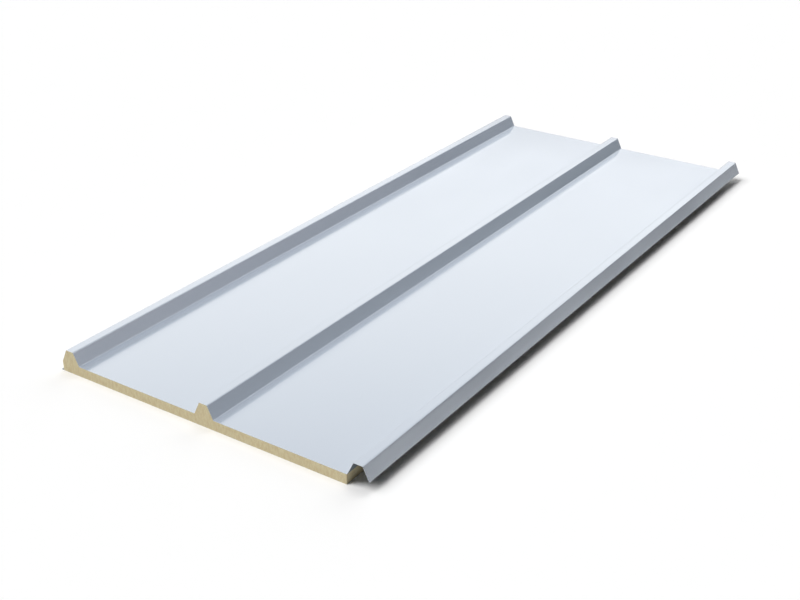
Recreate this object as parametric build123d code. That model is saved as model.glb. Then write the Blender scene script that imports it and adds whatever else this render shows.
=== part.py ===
from build123d import *
from math import atan2, cos, sin, tan
import os

# Trapezoidal roof sandwich panel, lying flat on its inner face.
# A profiled outer sheet and a plain inner liner are bonded to a rigid foam core.
# +X runs across the panel towards the overlap rib, +Y along the ribs, +Z up.
# The origin is the middle of the bounding box, at the liner's underside.

# Driving dimensions, in millimetres

# Panel
panel_length = 2500.0
core_thickness = 30.0

# Ribs of the outer sheet, measured on its weather side
rib_pitch = 500.0
foamed_rib_count = 2
rib_height = 40.0
rib_crest_width = 27.0
rib_foot_width = 66.0
outer_sheet_thickness = 0.5
inside_bend_radius = 2.0

# Side lap: the hollow rib goes over the first rib of the next panel
nesting_clearance = 0.3
free_edge_clearance = 0.8
core_joint_gap = 1.0

# Inner liner, with the lip that laps under the next panel
liner_thickness = 0.4
liner_lip = 10.0

# Levels and reaches that follow

core_top = liner_thickness + core_thickness
flat_level = core_top + outer_sheet_thickness
cover_width = foamed_rib_count * rib_pitch
slope_angle = atan2(rib_height, (rib_foot_width - rib_crest_width) / 2)

# The overlap rib is the same trapezoid, grown outwards by one sheet and the clearance
overlap_growth = outer_sheet_thickness + nesting_clearance
overlap_height = rib_height + overlap_growth
overlap_half_crest = rib_crest_width / 2 + overlap_growth * tan(slope_angle / 2)
overlap_half_foot = rib_foot_width / 2 + overlap_growth / sin(slope_angle)

core_left = -rib_foot_width / 2
core_right = cover_width - overlap_half_foot - core_joint_gap
lip_left = core_left - liner_lip
free_edge_right = cover_width + overlap_half_foot - free_edge_clearance / tan(slope_angle)

# Rib 1 is drawn at X = 0, and the finished pieces are moved to the panel's middle
middle_x = (lip_left + free_edge_right) / 2


def weather_side_points():
    """Corners of the outer sheet's upper side, from rib 1's left foot to the free edge."""
    points = []
    for rib in range(foamed_rib_count):
        centre = rib * rib_pitch
        points.append((centre - rib_foot_width / 2, flat_level))
        points.append((centre - rib_crest_width / 2, flat_level + rib_height))
        points.append((centre + rib_crest_width / 2, flat_level + rib_height))
        points.append((centre + rib_foot_width / 2, flat_level))
    points.append((cover_width - overlap_half_foot, flat_level))
    points.append((cover_width - overlap_half_crest, flat_level + overlap_height))
    points.append((cover_width + overlap_half_crest, flat_level + overlap_height))
    points.append((free_edge_right, flat_level + free_edge_clearance))
    return points


def bent_sheet(upper_points, thickness, inside_radius):
    """Section of a roll-formed sheet of even thickness whose upper side has these corners.

    The lower side is the upper one moved down by the thickness, corner by corner, and
    each bend has one centre for both sides: the inside radius is on the side it closes.
    """
    runs = []
    for start, end in zip(upper_points[:-1], upper_points[1:]):
        runs.append(atan2(end[1] - start[1], end[0] - start[0]))

    lower_points = []
    upper_radii = []
    lower_radii = []
    last = len(upper_points) - 1
    for index, (x, z) in enumerate(upper_points):
        before = runs[max(index - 1, 0)]
        after = runs[min(index, last - 1)]
        mean_run = (before + after) / 2
        reach = thickness / cos((after - before) / 2)
        lower_points.append((x + reach * sin(mean_run), z - reach * cos(mean_run)))
        if 0 < index < last:
            closes_above = after > before
            upper_radii.append(inside_radius if closes_above else inside_radius + thickness)
            lower_radii.append(inside_radius + thickness if closes_above else inside_radius)

    with BuildSketch(Plane.XZ) as section:
        with BuildLine():
            upper = FilletPolyline(*upper_points, radius=upper_radii)
            lower = FilletPolyline(*lower_points, radius=lower_radii)
            Line(upper @ 0, lower @ 0)
            Line(upper @ 1, lower @ 1)
        make_face()
    return section.sketch


def core_filling(outer_section):
    """Section of the foam: all that lies between the sheets, with upright sides."""
    roof = []
    for x, z in weather_side_points():
        if x < core_right:
            roof.append((x, z))
    left_foot = (core_left, liner_thickness)
    right_foot = (core_right, liner_thickness)
    with BuildSketch(Plane.XZ) as section:
        with BuildLine():
            Polyline(left_foot, *roof, (core_right, flat_level), right_foot, close=True)
        make_face()
    # The sheet leaves thin scraps of air outside its bends, and the foam is the large face
    under_the_sheet = section.sketch - outer_section
    return under_the_sheet.faces().sort_by(SortBy.AREA)[-1]


def liner_strip():
    """Section of the liner: a flat strip from the lip's edge to the core's right side."""
    width = core_right - lip_left
    middle = Vector((lip_left + core_right) / 2, 0, liner_thickness / 2)
    return Plane.XZ.shift_origin(middle) * Rectangle(width, liner_thickness)


def full_length(section):
    """The section run along the whole panel, with the origin at the panel's middle."""
    piece = extrude(section, amount=panel_length / 2, both=True)
    return Pos(-middle_x, 0, 0) * piece


outer_section = bent_sheet(weather_side_points(), outer_sheet_thickness, inside_bend_radius)

sections = {
    "outer_sheet": outer_section,
    "foam_core": core_filling(outer_section),
    "liner_sheet": liner_strip(),
}

os.makedirs("parts", exist_ok=True)
for name, section in sections.items():
    export_step(full_length(section).solid(), f"parts/{name}.step")
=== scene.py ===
from math import atan2, cos, pi, radians, sin, tan

import bpy
from mathutils import Matrix, Vector


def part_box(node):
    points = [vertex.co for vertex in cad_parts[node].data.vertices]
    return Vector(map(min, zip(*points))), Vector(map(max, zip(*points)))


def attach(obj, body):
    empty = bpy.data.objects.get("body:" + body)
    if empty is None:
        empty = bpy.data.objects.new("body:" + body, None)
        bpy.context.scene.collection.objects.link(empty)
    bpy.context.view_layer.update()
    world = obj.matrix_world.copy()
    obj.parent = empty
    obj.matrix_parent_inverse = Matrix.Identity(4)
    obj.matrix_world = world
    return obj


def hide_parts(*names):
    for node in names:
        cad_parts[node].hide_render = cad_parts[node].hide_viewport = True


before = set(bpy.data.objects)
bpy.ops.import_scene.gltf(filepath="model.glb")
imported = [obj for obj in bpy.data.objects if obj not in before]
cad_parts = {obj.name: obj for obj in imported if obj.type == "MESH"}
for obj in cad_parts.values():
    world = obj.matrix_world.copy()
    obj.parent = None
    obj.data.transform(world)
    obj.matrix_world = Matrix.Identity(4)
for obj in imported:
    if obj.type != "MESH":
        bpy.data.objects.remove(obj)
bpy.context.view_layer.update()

# Outer sheet
# Half a millimetre of galvanised steel, coil coated in a pale blue-grey with a fine metal
# flake, and roll formed into two ribs and a hollow overlap rib. The foam sets against its
# primed back and holds it, and both ends are sawn off square together with the foam.

sheet_low, sheet_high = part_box("outer_sheet")
core_low, core_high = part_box("foam_core")

outer_thickness = 0.0005
inside_bend_radius = 0.002
rib_pitch = 0.5
foamed_ribs = 2
rib_crest_width = 0.027
rib_foot_width = 0.066
bend_steps = 7
fold_angle = radians(30)

flat_level = sheet_low[2] + outer_thickness
crest_level = core_high[2] + outer_thickness
first_rib = core_low[0] + rib_foot_width / 2
overlap_rib = first_rib + foamed_ribs * rib_pitch
slope_angle = atan2(crest_level - flat_level, (rib_foot_width - rib_crest_width) / 2)

# The overlap rib stands off the rib under it by the same growth on all its faces
overlap_growth = sheet_high[2] - crest_level
overlap_half_crest = rib_crest_width / 2 + overlap_growth * tan(slope_angle / 2)
overlap_half_foot = rib_foot_width / 2 + overlap_growth / sin(slope_angle)
free_edge = sheet_high[0]
free_edge_level = flat_level + (overlap_rib + overlap_half_foot - free_edge) * tan(slope_angle)

weather_corners = []
for rib in range(foamed_ribs):
    centre = first_rib + rib * rib_pitch
    weather_corners.append((centre - rib_foot_width / 2, flat_level))
    weather_corners.append((centre - rib_crest_width / 2, crest_level))
    weather_corners.append((centre + rib_crest_width / 2, crest_level))
    weather_corners.append((centre + rib_foot_width / 2, flat_level))
weather_corners.append((overlap_rib - overlap_half_foot, flat_level))
weather_corners.append((overlap_rib - overlap_half_crest, sheet_high[2]))
weather_corners.append((overlap_rib + overlap_half_crest, sheet_high[2]))
weather_corners.append((free_edge, free_edge_level))


def with_bends(corners, valley_radius, ridge_radius):
    """Each corner with the radius it is bent to, and two points beside it on the straights.

    The points beside a bend keep the shading of the flat next to it flat.
    """
    beside = 0.004
    line = [(corners[0], 0.0)]
    for before, corner, after in zip(corners, corners[1:], corners[2:]):
        here = Vector(corner)
        arriving = (here - Vector(before)).normalized()
        leaving = (Vector(after) - here).normalized()
        radius = valley_radius if arriving.cross(leaving) > 0 else ridge_radius
        line.append((here - arriving * beside, 0.0))
        line.append((corner, radius))
        line.append((here + leaving * beside, 0.0))
    line.append((corners[-1], 0.0))
    return line


def full_length_tree():
    """Geometry Nodes: rounds a section's bends and runs it along the panel's whole length."""
    tree = bpy.data.node_groups.new("full_length_run", "GeometryNodeTree")
    for name, kind in (
        ("Section", "NodeSocketGeometry"),
        ("Bend Steps", "NodeSocketInt"),
        ("Front Cut", "NodeSocketFloat"),
        ("Back Cut", "NodeSocketFloat"),
        ("Solid", "NodeSocketBool"),
        ("Finish", "NodeSocketMaterial"),
    ):
        tree.interface.new_socket(name, in_out="INPUT", socket_type=kind)
    tree.interface.new_socket("Piece", in_out="OUTPUT", socket_type="NodeSocketGeometry")
    add = tree.nodes.new
    link = tree.links.new
    given = add("NodeGroupInput").outputs

    line = add("GeometryNodeMeshToCurve")
    link(given["Section"], line.inputs["Mesh"])
    radius = add("GeometryNodeInputNamedAttribute")
    radius.data_type = "FLOAT"
    radius.inputs["Name"].default_value = "bend_radius"
    bends = add("GeometryNodeFilletCurve")
    bends.mode = "POLY"
    link(line.outputs["Curve"], bends.inputs["Curve"])
    link(radius.outputs["Attribute"], bends.inputs["Radius"])
    link(given["Bend Steps"], bends.inputs["Count"])
    upright = add("GeometryNodeTransform")
    upright.inputs["Rotation"].default_value = (pi / 2, 0.0, 0.0)
    link(bends.outputs["Curve"], upright.inputs["Geometry"])

    ends = []
    for cut in ("Front Cut", "Back Cut"):
        end = add("ShaderNodeCombineXYZ")
        link(given[cut], end.inputs["Y"])
        ends.append(end.outputs["Vector"])
    path = add("GeometryNodeCurvePrimitiveLine")
    link(ends[0], path.inputs["Start"])
    link(ends[1], path.inputs["End"])
    run = add("GeometryNodeCurveToMesh")
    link(path.outputs["Curve"], run.inputs["Curve"])
    link(upright.outputs["Geometry"], run.inputs["Profile Curve"])
    link(given["Solid"], run.inputs["Fill Caps"])

    single = add("GeometryNodeRealizeInstances")
    link(run.outputs["Mesh"], single.inputs["Geometry"])
    finish = add("GeometryNodeSetMaterial")
    link(single.outputs["Geometry"], finish.inputs["Geometry"])
    link(given["Finish"], finish.inputs["Material"])
    result = add("NodeGroupOutput")
    link(finish.outputs["Geometry"], result.inputs["Piece"])
    return tree


full_length_run = full_length_tree()


def plain_mesh(piece, name):
    """The piece with its modifiers worked in, as a plain mesh with crisp folds."""
    seen = piece.evaluated_get(bpy.context.evaluated_depsgraph_get())
    mesh = bpy.data.meshes.new_from_object(seen)
    mesh.name = name
    bpy.data.objects.remove(piece)
    mesh.shade_smooth()
    mesh.set_sharp_from_angle(angle=fold_angle)
    finished = bpy.data.objects.new(name, mesh)
    bpy.context.collection.objects.link(finished)
    return finished


def run_full_length(name, section, solid, finish):
    """A piece with this section, from the front cut to the back cut."""
    edges = [(index, index + 1) for index in range(len(section) - 1)]
    if solid:
        edges.append((len(section) - 1, 0))
    mesh = bpy.data.meshes.new(name + "_section")
    mesh.from_pydata([(x, 0.0, z) for (x, z), radius in section], edges, [])
    radii = mesh.attributes.new("bend_radius", "FLOAT", "POINT")
    radii.data.foreach_set("value", [radius for corner, radius in section])
    piece = bpy.data.objects.new(name + "_section", mesh)
    bpy.context.collection.objects.link(piece)

    values = {
        "Bend Steps": bend_steps,
        "Front Cut": sheet_low[1],
        "Back Cut": sheet_high[1],
        "Solid": solid,
        "Finish": finish,
    }
    modifier = piece.modifiers.new("full_length", "NODES")
    modifier.node_group = full_length_run
    for socket in full_length_run.interface.items_tree:
        if socket.name in values:
            modifier[socket.identifier] = values[socket.name]
    return plain_mesh(piece, name)


def thicken(strip, name, thickness, back_finish, cut_finish):
    """Gives a strip its sheet thickness downwards, with its own back and bare cut edges."""
    strip.data.materials.append(back_finish)
    strip.data.materials.append(cut_finish)
    solidify = strip.modifiers.new("thickness", "SOLIDIFY")
    solidify.thickness = thickness
    solidify.offset = -1.0
    solidify.use_even_offset = True
    solidify.material_offset = 1
    solidify.material_offset_rim = 2
    return plain_mesh(strip, name)


# Rolling lines lie along the strip, so their pattern is drawn out along Y
lines_per_metre = 420.0
lines_drawn_out = (1.0, 0.002, 1.0)
clouds_per_metre = 2.3
line_share_of_tone = 0.35
line_share_of_roughness = 0.10
cloud_share_of_roughness = 0.08
line_share_of_relief = 0.6


def coil_coat_group():
    """Shader group for a coil-coated strip: soft tone, rolling lines and the coat's fine peel."""
    group = bpy.data.node_groups.new("coil_coat_surface", "ShaderNodeTree")
    for name, kind in (
        ("Place", "NodeSocketVector"),
        ("Coat Colour", "NodeSocketColor"),
        ("Tone Spread", "NodeSocketFloat"),
        ("Mean Roughness", "NodeSocketFloat"),
        ("Peel Size", "NodeSocketFloat"),
    ):
        group.interface.new_socket(name, in_out="INPUT", socket_type=kind)
    group.interface.new_socket("Colour", in_out="OUTPUT", socket_type="NodeSocketColor")
    group.interface.new_socket("Roughness", in_out="OUTPUT", socket_type="NodeSocketFloat")
    group.interface.new_socket("Height", in_out="OUTPUT", socket_type="NodeSocketFloat")
    add = group.nodes.new
    link = group.links.new
    given = add("NodeGroupInput").outputs
    result = add("NodeGroupOutput").inputs

    def maths(operation, first, second):
        node = add("ShaderNodeMath")
        node.operation = operation
        for socket, value in zip(node.inputs, (first, second)):
            if isinstance(value, float):
                socket.default_value = value
            else:
                link(value, socket)
        return node.outputs["Value"]

    def noise(place, scale, detail):
        node = add("ShaderNodeTexNoise")
        node.inputs["Scale"].default_value = scale
        node.inputs["Detail"].default_value = detail
        link(place, node.inputs["Vector"])
        return maths("SUBTRACT", node.outputs["Fac"], 0.5)

    drawn_out = add("ShaderNodeMapping")
    drawn_out.inputs["Scale"].default_value = lines_drawn_out
    link(given["Place"], drawn_out.inputs["Vector"])
    lines = noise(drawn_out.outputs["Vector"], scale=lines_per_metre, detail=3.0)
    clouds = noise(given["Place"], scale=clouds_per_metre, detail=2.0)

    tone = maths("ADD", maths("MULTIPLY", lines, line_share_of_tone), clouds)
    tone = maths("ADD", maths("MULTIPLY", tone, given["Tone Spread"]), 1.0)
    shade = add("ShaderNodeVectorMath")
    shade.operation = "SCALE"
    link(given["Coat Colour"], shade.inputs["Vector"])
    link(tone, shade.inputs["Scale"])
    link(shade.outputs["Vector"], result["Colour"])

    rough_lines = maths("MULTIPLY", lines, line_share_of_roughness)
    rough_clouds = maths("MULTIPLY", clouds, cloud_share_of_roughness)
    rough = maths("ADD", rough_lines, rough_clouds)
    link(maths("ADD", rough, given["Mean Roughness"]), result["Roughness"])

    peel = add("ShaderNodeTexNoise")
    peel.inputs["Detail"].default_value = 1.5
    link(given["Place"], peel.inputs["Vector"])
    link(maths("DIVIDE", 1.0, given["Peel Size"]), peel.inputs["Scale"])
    peel_height = maths("SUBTRACT", peel.outputs["Fac"], 0.5)
    line_height = maths("MULTIPLY", lines, line_share_of_relief)
    link(maths("ADD", peel_height, line_height), result["Height"])
    return group


coil_coat_surface = coil_coat_group()


def coil_coat(name, colour, metal_flake, tone_spread, roughness, peel_size, relief):
    """A coil coating: Principled paint, as shiny as a metal where it holds a metal flake.

    Its tone, roughness and relief come from the group.
    """
    material = bpy.data.materials.new(name)
    material.use_nodes = True
    nodes = material.node_tree.nodes
    link = material.node_tree.links.new
    paint = nodes["Principled BSDF"]
    paint.inputs["Metallic"].default_value = metal_flake
    surface = nodes.new("ShaderNodeGroup")
    surface.node_tree = coil_coat_surface
    surface.inputs["Coat Colour"].default_value = (*colour, 1.0)
    surface.inputs["Tone Spread"].default_value = tone_spread
    surface.inputs["Mean Roughness"].default_value = roughness
    surface.inputs["Peel Size"].default_value = peel_size
    link(nodes.new("ShaderNodeTexCoord").outputs["Object"], surface.inputs["Place"])
    bump = nodes.new("ShaderNodeBump")
    bump.inputs["Distance"].default_value = relief
    link(surface.outputs["Height"], bump.inputs["Height"])
    link(bump.outputs["Normal"], paint.inputs["Normal"])
    link(surface.outputs["Colour"], paint.inputs["Base Color"])
    link(surface.outputs["Roughness"], paint.inputs["Roughness"])
    material.diffuse_color = (*colour, 1.0)
    return material


scratches_per_metre = 900.0
dull_cut = (0.46, 0.47, 0.49, 1.0)
bright_cut = (0.78, 0.79, 0.81, 1.0)
smoothest_cut = 0.3
roughest_cut = 0.55


def sawn_metal(name):
    """The bright edge of galvanised steel where a saw or slitter has cut it."""
    material = bpy.data.materials.new(name)
    material.use_nodes = True
    nodes = material.node_tree.nodes
    link = material.node_tree.links.new
    metal = nodes["Principled BSDF"]
    metal.inputs["Metallic"].default_value = 1.0
    scratches = nodes.new("ShaderNodeTexNoise")
    scratches.inputs["Scale"].default_value = scratches_per_metre
    scratches.inputs["Detail"].default_value = 3.0
    link(nodes.new("ShaderNodeTexCoord").outputs["Object"], scratches.inputs["Vector"])
    tone = nodes.new("ShaderNodeValToRGB")
    tone.color_ramp.elements[0].color = dull_cut
    tone.color_ramp.elements[1].color = bright_cut
    link(scratches.outputs["Fac"], tone.inputs["Fac"])
    link(tone.outputs["Color"], metal.inputs["Base Color"])
    rough = nodes.new("ShaderNodeMapRange")
    rough.inputs["To Min"].default_value = smoothest_cut
    rough.inputs["To Max"].default_value = roughest_cut
    link(scratches.outputs["Fac"], rough.inputs["Value"])
    link(rough.outputs["Result"], metal.inputs["Roughness"])
    return material


weather_coat = coil_coat(
    "weather_coat",
    colour=(0.787, 0.833, 0.887),
    metal_flake=0.76,
    tone_spread=0.02,
    roughness=0.17,
    peel_size=0.0009,
    relief=0.000002,
)
back_primer = coil_coat(
    "back_primer",
    colour=(0.24, 0.28, 0.32),
    metal_flake=0.0,
    tone_spread=0.04,
    roughness=0.6,
    peel_size=0.0006,
    relief=0.000015,
)
cut_steel = sawn_metal("cut_steel")

weather_line = with_bends(weather_corners, inside_bend_radius, inside_bend_radius + outer_thickness)
weather_side = run_full_length("weather_side", weather_line, False, weather_coat)
outer_sheet = thicken(weather_side, "outer_sheet_rolled", outer_thickness, back_primer, cut_steel)
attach(outer_sheet, "root")
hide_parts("outer_sheet")

# Foam core
# Rigid closed-cell polyurethane foam, poured between the two sheets, where it rises, sets
# and bonds to both. Its sides are upright, and the two ends are sawn, so cells lie open.


def underside(corners, thickness):
    """The corners on the lower side of a sheet, one thickness square off each of its runs."""
    runs = [atan2(end[1] - start[1], end[0] - start[0]) for start, end in zip(corners, corners[1:])]
    runs = [runs[0], *runs, runs[-1]]
    lower = []
    for (x, z), before, after in zip(corners, runs, runs[1:]):
        mean = (before + after) / 2
        reach = thickness / cos((after - before) / 2)
        lower.append((x + reach * sin(mean), z - reach * cos(mean)))
    return lower


# The foam rises towards the outer sheet, so its patches stand taller than they are wide
foam_rise = (1.0, 1.0, 0.45)
patches_per_metre = 140.0
dense_foam = (0.82, 0.68, 0.405, 1.0)
light_foam = (0.95, 0.85, 0.57, 1.0)
cells_per_metre = 1600.0
# Painted shade in the open cells and painted light on their walls, as factors on the foam colour
painted_shade_in_cells = 0.86
painted_light_on_cell_walls = 1.06
cell_depth = 0.00012


def foam_material():
    """Pale tan foam: mottled by its rise, with a net of tiny cells that the saw has opened, and
    painted shade in each open cell with painted light on the cell walls.
    """
    material = bpy.data.materials.new("cut_foam")
    material.use_nodes = True
    nodes = material.node_tree.nodes
    link = material.node_tree.links.new
    foam = nodes["Principled BSDF"]
    place = nodes.new("ShaderNodeTexCoord").outputs["Object"]

    risen = nodes.new("ShaderNodeMapping")
    risen.inputs["Scale"].default_value = foam_rise
    link(place, risen.inputs["Vector"])
    patches = nodes.new("ShaderNodeTexNoise")
    patches.inputs["Scale"].default_value = patches_per_metre
    patches.inputs["Detail"].default_value = 4.0
    link(risen.outputs["Vector"], patches.inputs["Vector"])
    tone = nodes.new("ShaderNodeValToRGB")
    tone.color_ramp.elements[0].position = 0.3
    tone.color_ramp.elements[0].color = dense_foam
    tone.color_ramp.elements[1].position = 0.7
    tone.color_ramp.elements[1].color = light_foam
    link(patches.outputs["Fac"], tone.inputs["Fac"])

    cells = nodes.new("ShaderNodeTexVoronoi")
    cells.inputs["Scale"].default_value = cells_per_metre
    link(place, cells.inputs["Vector"])
    depth = nodes.new("ShaderNodeMapRange")
    depth.inputs["From Min"].default_value = 0.1
    depth.inputs["From Max"].default_value = 0.7
    link(cells.outputs["Distance"], depth.inputs["Value"])
    # Painted shade: the colour is darker in the middle of each open cell, where it dips, and lighter
    # on its walls
    cell_shading = nodes.new("ShaderNodeMapRange")
    cell_shading.inputs["To Min"].default_value = painted_shade_in_cells
    cell_shading.inputs["To Max"].default_value = painted_light_on_cell_walls
    link(depth.outputs["Result"], cell_shading.inputs["Value"])
    colour = nodes.new("ShaderNodeVectorMath")
    colour.operation = "SCALE"
    link(tone.outputs["Color"], colour.inputs["Vector"])
    link(cell_shading.outputs["Result"], colour.inputs["Scale"])
    link(colour.outputs["Vector"], foam.inputs["Base Color"])

    bump = nodes.new("ShaderNodeBump")
    bump.inputs["Distance"].default_value = cell_depth
    link(depth.outputs["Result"], bump.inputs["Height"])
    link(bump.outputs["Normal"], foam.inputs["Normal"])
    foam.inputs["Roughness"].default_value = 0.85
    foam.inputs["Specular IOR Level"].default_value = 0.25
    return material


core_line = with_bends(
    underside(weather_corners, outer_thickness),
    valley_radius=inside_bend_radius + outer_thickness,
    ridge_radius=inside_bend_radius,
)
core_line = [point for point in core_line if point[0][0] < core_high[0]]
core_line.insert(0, ((core_low[0], flat_level), 0.0))
core_line.append(((core_high[0], sheet_low[2]), 0.0))
core_line.append(((core_high[0], core_low[2]), 0.0))
core_line.append(((core_low[0], core_low[2]), 0.0))

foam_core = run_full_length("foam_core_poured", core_line, True, foam_material())
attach(foam_core, "root")
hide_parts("foam_core")

# Liner sheet
# The inner face of the roof: 0.4 mm of coated steel under the foam, which is poured onto
# its primed back. It reaches past the foam at the left as a lip for the next panel's lap.

liner_low, liner_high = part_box("liner_sheet")

room_coat = coil_coat(
    "room_coat",
    colour=(0.78, 0.79, 0.77),
    metal_flake=0.0,
    tone_spread=0.02,
    roughness=0.38,
    peel_size=0.0009,
    relief=0.000012,
)
liner_line = [((x, liner_high[2]), 0.0) for x in (liner_low[0], liner_high[0])]
liner_back = run_full_length("liner_back", liner_line, False, back_primer)
liner = thicken(liner_back, "liner_sheet_rolled", liner_high[2] - liner_low[2], room_coat, cut_steel)
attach(liner, "root")
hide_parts("liner_sheet")

# Floor, light and camera
# A plain white floor that runs out of sight, soft light from above, from the left and low
# from behind, and the camera where the photograph was taken from.

floor_reach = 30.0
floor_seen = 1.02
floor_bounce = 0.7


def staged_floor():
    """A large floor that looks white in the open and keeps the shadow of the panel.

    The light that it throws back on the panel is set by itself, as that of a matt floor.
    """
    mesh = bpy.data.meshes.new("floor")
    corners = [
        (-floor_reach, -floor_reach, 0.0),
        (floor_reach, -floor_reach, 0.0),
        (floor_reach, floor_reach, 0.0),
        (-floor_reach, floor_reach, 0.0),
    ]
    mesh.from_pydata(corners, [], [(0, 1, 2, 3)])
    floor = bpy.data.objects.new("floor", mesh)
    bpy.context.collection.objects.link(floor)
    material = bpy.data.materials.new("white_floor")
    material.use_nodes = True
    nodes = material.node_tree.nodes
    link = material.node_tree.links.new
    nodes.remove(nodes["Principled BSDF"])
    seen = nodes.new("ShaderNodeBsdfDiffuse")
    seen.inputs["Color"].default_value = (floor_seen, floor_seen, floor_seen, 1.0)
    lighting = nodes.new("ShaderNodeBsdfDiffuse")
    lighting.inputs["Color"].default_value = (floor_bounce, floor_bounce, floor_bounce, 1.0)
    rays = nodes.new("ShaderNodeLightPath")
    directly = nodes.new("ShaderNodeMath")
    directly.operation = "MAXIMUM"
    link(rays.outputs["Is Camera Ray"], directly.inputs[0])
    link(rays.outputs["Is Glossy Ray"], directly.inputs[1])
    through = nodes.new("ShaderNodeMath")
    through.operation = "MAXIMUM"
    link(directly.outputs["Value"], through.inputs[0])
    link(rays.outputs["Is Transmission Ray"], through.inputs[1])
    mix = nodes.new("ShaderNodeMixShader")
    link(through.outputs["Value"], mix.inputs["Fac"])
    link(lighting.outputs["BSDF"], mix.inputs[1])
    link(seen.outputs["BSDF"], mix.inputs[2])
    link(mix.outputs["Shader"], nodes["Material Output"].inputs["Surface"])
    mesh.materials.append(material)


staged_floor()

# Degrees above the floor, and the light that the coat mirrors from that height
room_light = (
    (0.0, (0.08, 0.09, 0.12)),
    (3.5, (0.02, 0.03, 0.05)),
    (5.2, (0.36, 0.40, 0.44)),
    (8.0, (0.31, 0.34, 0.385)),
    (10.0, (0.25, 0.27, 0.31)),
    (12.0, (0.40, 0.42, 0.47)),
    (14.7, (0.45, 0.47, 0.53)),
    (15.4, (0.05, 0.05, 0.06)),
    (17.2, (0.02, 0.02, 0.02)),
    (17.8, (1.26, 1.27, 1.305)),
    (20.0, (1.235, 1.24, 1.27)),
    (22.5, (1.09, 1.10, 1.11)),
    (27.0, (0.97, 0.975, 0.995)),
    (31.5, (0.80, 0.83, 0.87)),
    (35.0, (0.66, 0.69, 0.745)),
    (39.0, (0.60, 0.63, 0.69)),
    (45.0, (0.51, 0.54, 0.60)),
    (60.0, (0.40, 0.44, 0.50)),
)


def studio_world():
    """White behind the panel, and for its reflections a room that is dim near the floor.

    It gives dull surfaces no light, which comes to them from the lamps alone.
    """
    world = bpy.data.worlds.new("studio")
    bpy.context.scene.world = world
    world.use_nodes = True
    nodes = world.node_tree.nodes
    link = world.node_tree.links.new
    unlit = nodes["Background"]
    unlit.inputs["Strength"].default_value = 0.0
    height = nodes.new("ShaderNodeSeparateXYZ")
    link(nodes.new("ShaderNodeTexCoord").outputs["Generated"], height.inputs["Vector"])
    room = nodes.new("ShaderNodeValToRGB")
    link(height.outputs["Z"], room.inputs["Fac"])
    steps = room.color_ramp.elements
    while len(steps) < len(room_light):
        steps.new(1.0)
    for step, (elevation, colour) in zip(steps, room_light):
        step.position = sin(radians(elevation))
        step.color = (*colour, 1.0)
    mirrored = nodes.new("ShaderNodeBackground")
    link(room.outputs["Color"], mirrored.inputs["Color"])
    white = nodes.new("ShaderNodeBackground")
    white.inputs["Color"].default_value = (1.0, 1.0, 1.0, 1.0)
    rays = nodes.new("ShaderNodeLightPath")
    shiny = nodes.new("ShaderNodeMath")
    shiny.operation = "MAXIMUM"
    link(rays.outputs["Is Glossy Ray"], shiny.inputs[0])
    link(rays.outputs["Is Transmission Ray"], shiny.inputs[1])
    reflecting = nodes.new("ShaderNodeMixShader")
    link(shiny.outputs["Value"], reflecting.inputs["Fac"])
    link(unlit.outputs["Background"], reflecting.inputs[1])
    link(mirrored.outputs["Background"], reflecting.inputs[2])
    behind = nodes.new("ShaderNodeMixShader")
    link(rays.outputs["Is Camera Ray"], behind.inputs["Fac"])
    link(reflecting.outputs["Shader"], behind.inputs[1])
    link(white.outputs["Background"], behind.inputs[2])
    link(behind.outputs["Shader"], nodes["World Output"].inputs["Surface"])


studio_world()


def distant_lamp(name, elevation, azimuth, spread, strength):
    """A far soft source. Azimuth 0 is the panel's left side, and 90 is its front cut."""
    lamp = bpy.data.lights.new(name, "SUN")
    lamp.energy = strength * pi
    lamp.angle = radians(spread)
    source = bpy.data.objects.new(name, lamp)
    source.visible_glossy = False
    up, round_from_left = radians(elevation), radians(azimuth)
    towards = Vector((-cos(up) * cos(round_from_left), -cos(up) * sin(round_from_left), sin(up)))
    source.rotation_euler = towards.to_track_quat("Z", "Y").to_euler()
    bpy.context.collection.objects.link(source)


distant_lamp("window_left", elevation=56.1, azimuth=37.8, spread=35.0, strength=0.546)
distant_lamp("ceiling_front", elevation=64.6, azimuth=52.9, spread=35.0, strength=0.249)
distant_lamp("ceiling_back", elevation=69.6, azimuth=-79.2, spread=35.0, strength=0.229)
distant_lamp("low_light_back", elevation=15.0, azimuth=-90.0, spread=60.0, strength=0.318)

view_azimuth = radians(33.861)
view_elevation = radians(26.942)
view_roll = radians(0.15)
view_place = (1.9967, -3.2927, 1.8043)
lens = bpy.data.cameras.new("camera")
lens.lens = 56.475
lens.sensor_width = 36.0
camera = bpy.data.objects.new("camera", lens)
bpy.context.collection.objects.link(camera)
turned = Matrix.Rotation(view_azimuth, 4, "Z") @ Matrix.Rotation(pi / 2 - view_elevation, 4, "X")
camera.matrix_world = Matrix.Translation(view_place) @ turned @ Matrix.Rotation(view_roll, 4, "Z")
bpy.context.scene.camera = camera
bpy.context.scene.view_settings.view_transform = "Standard"
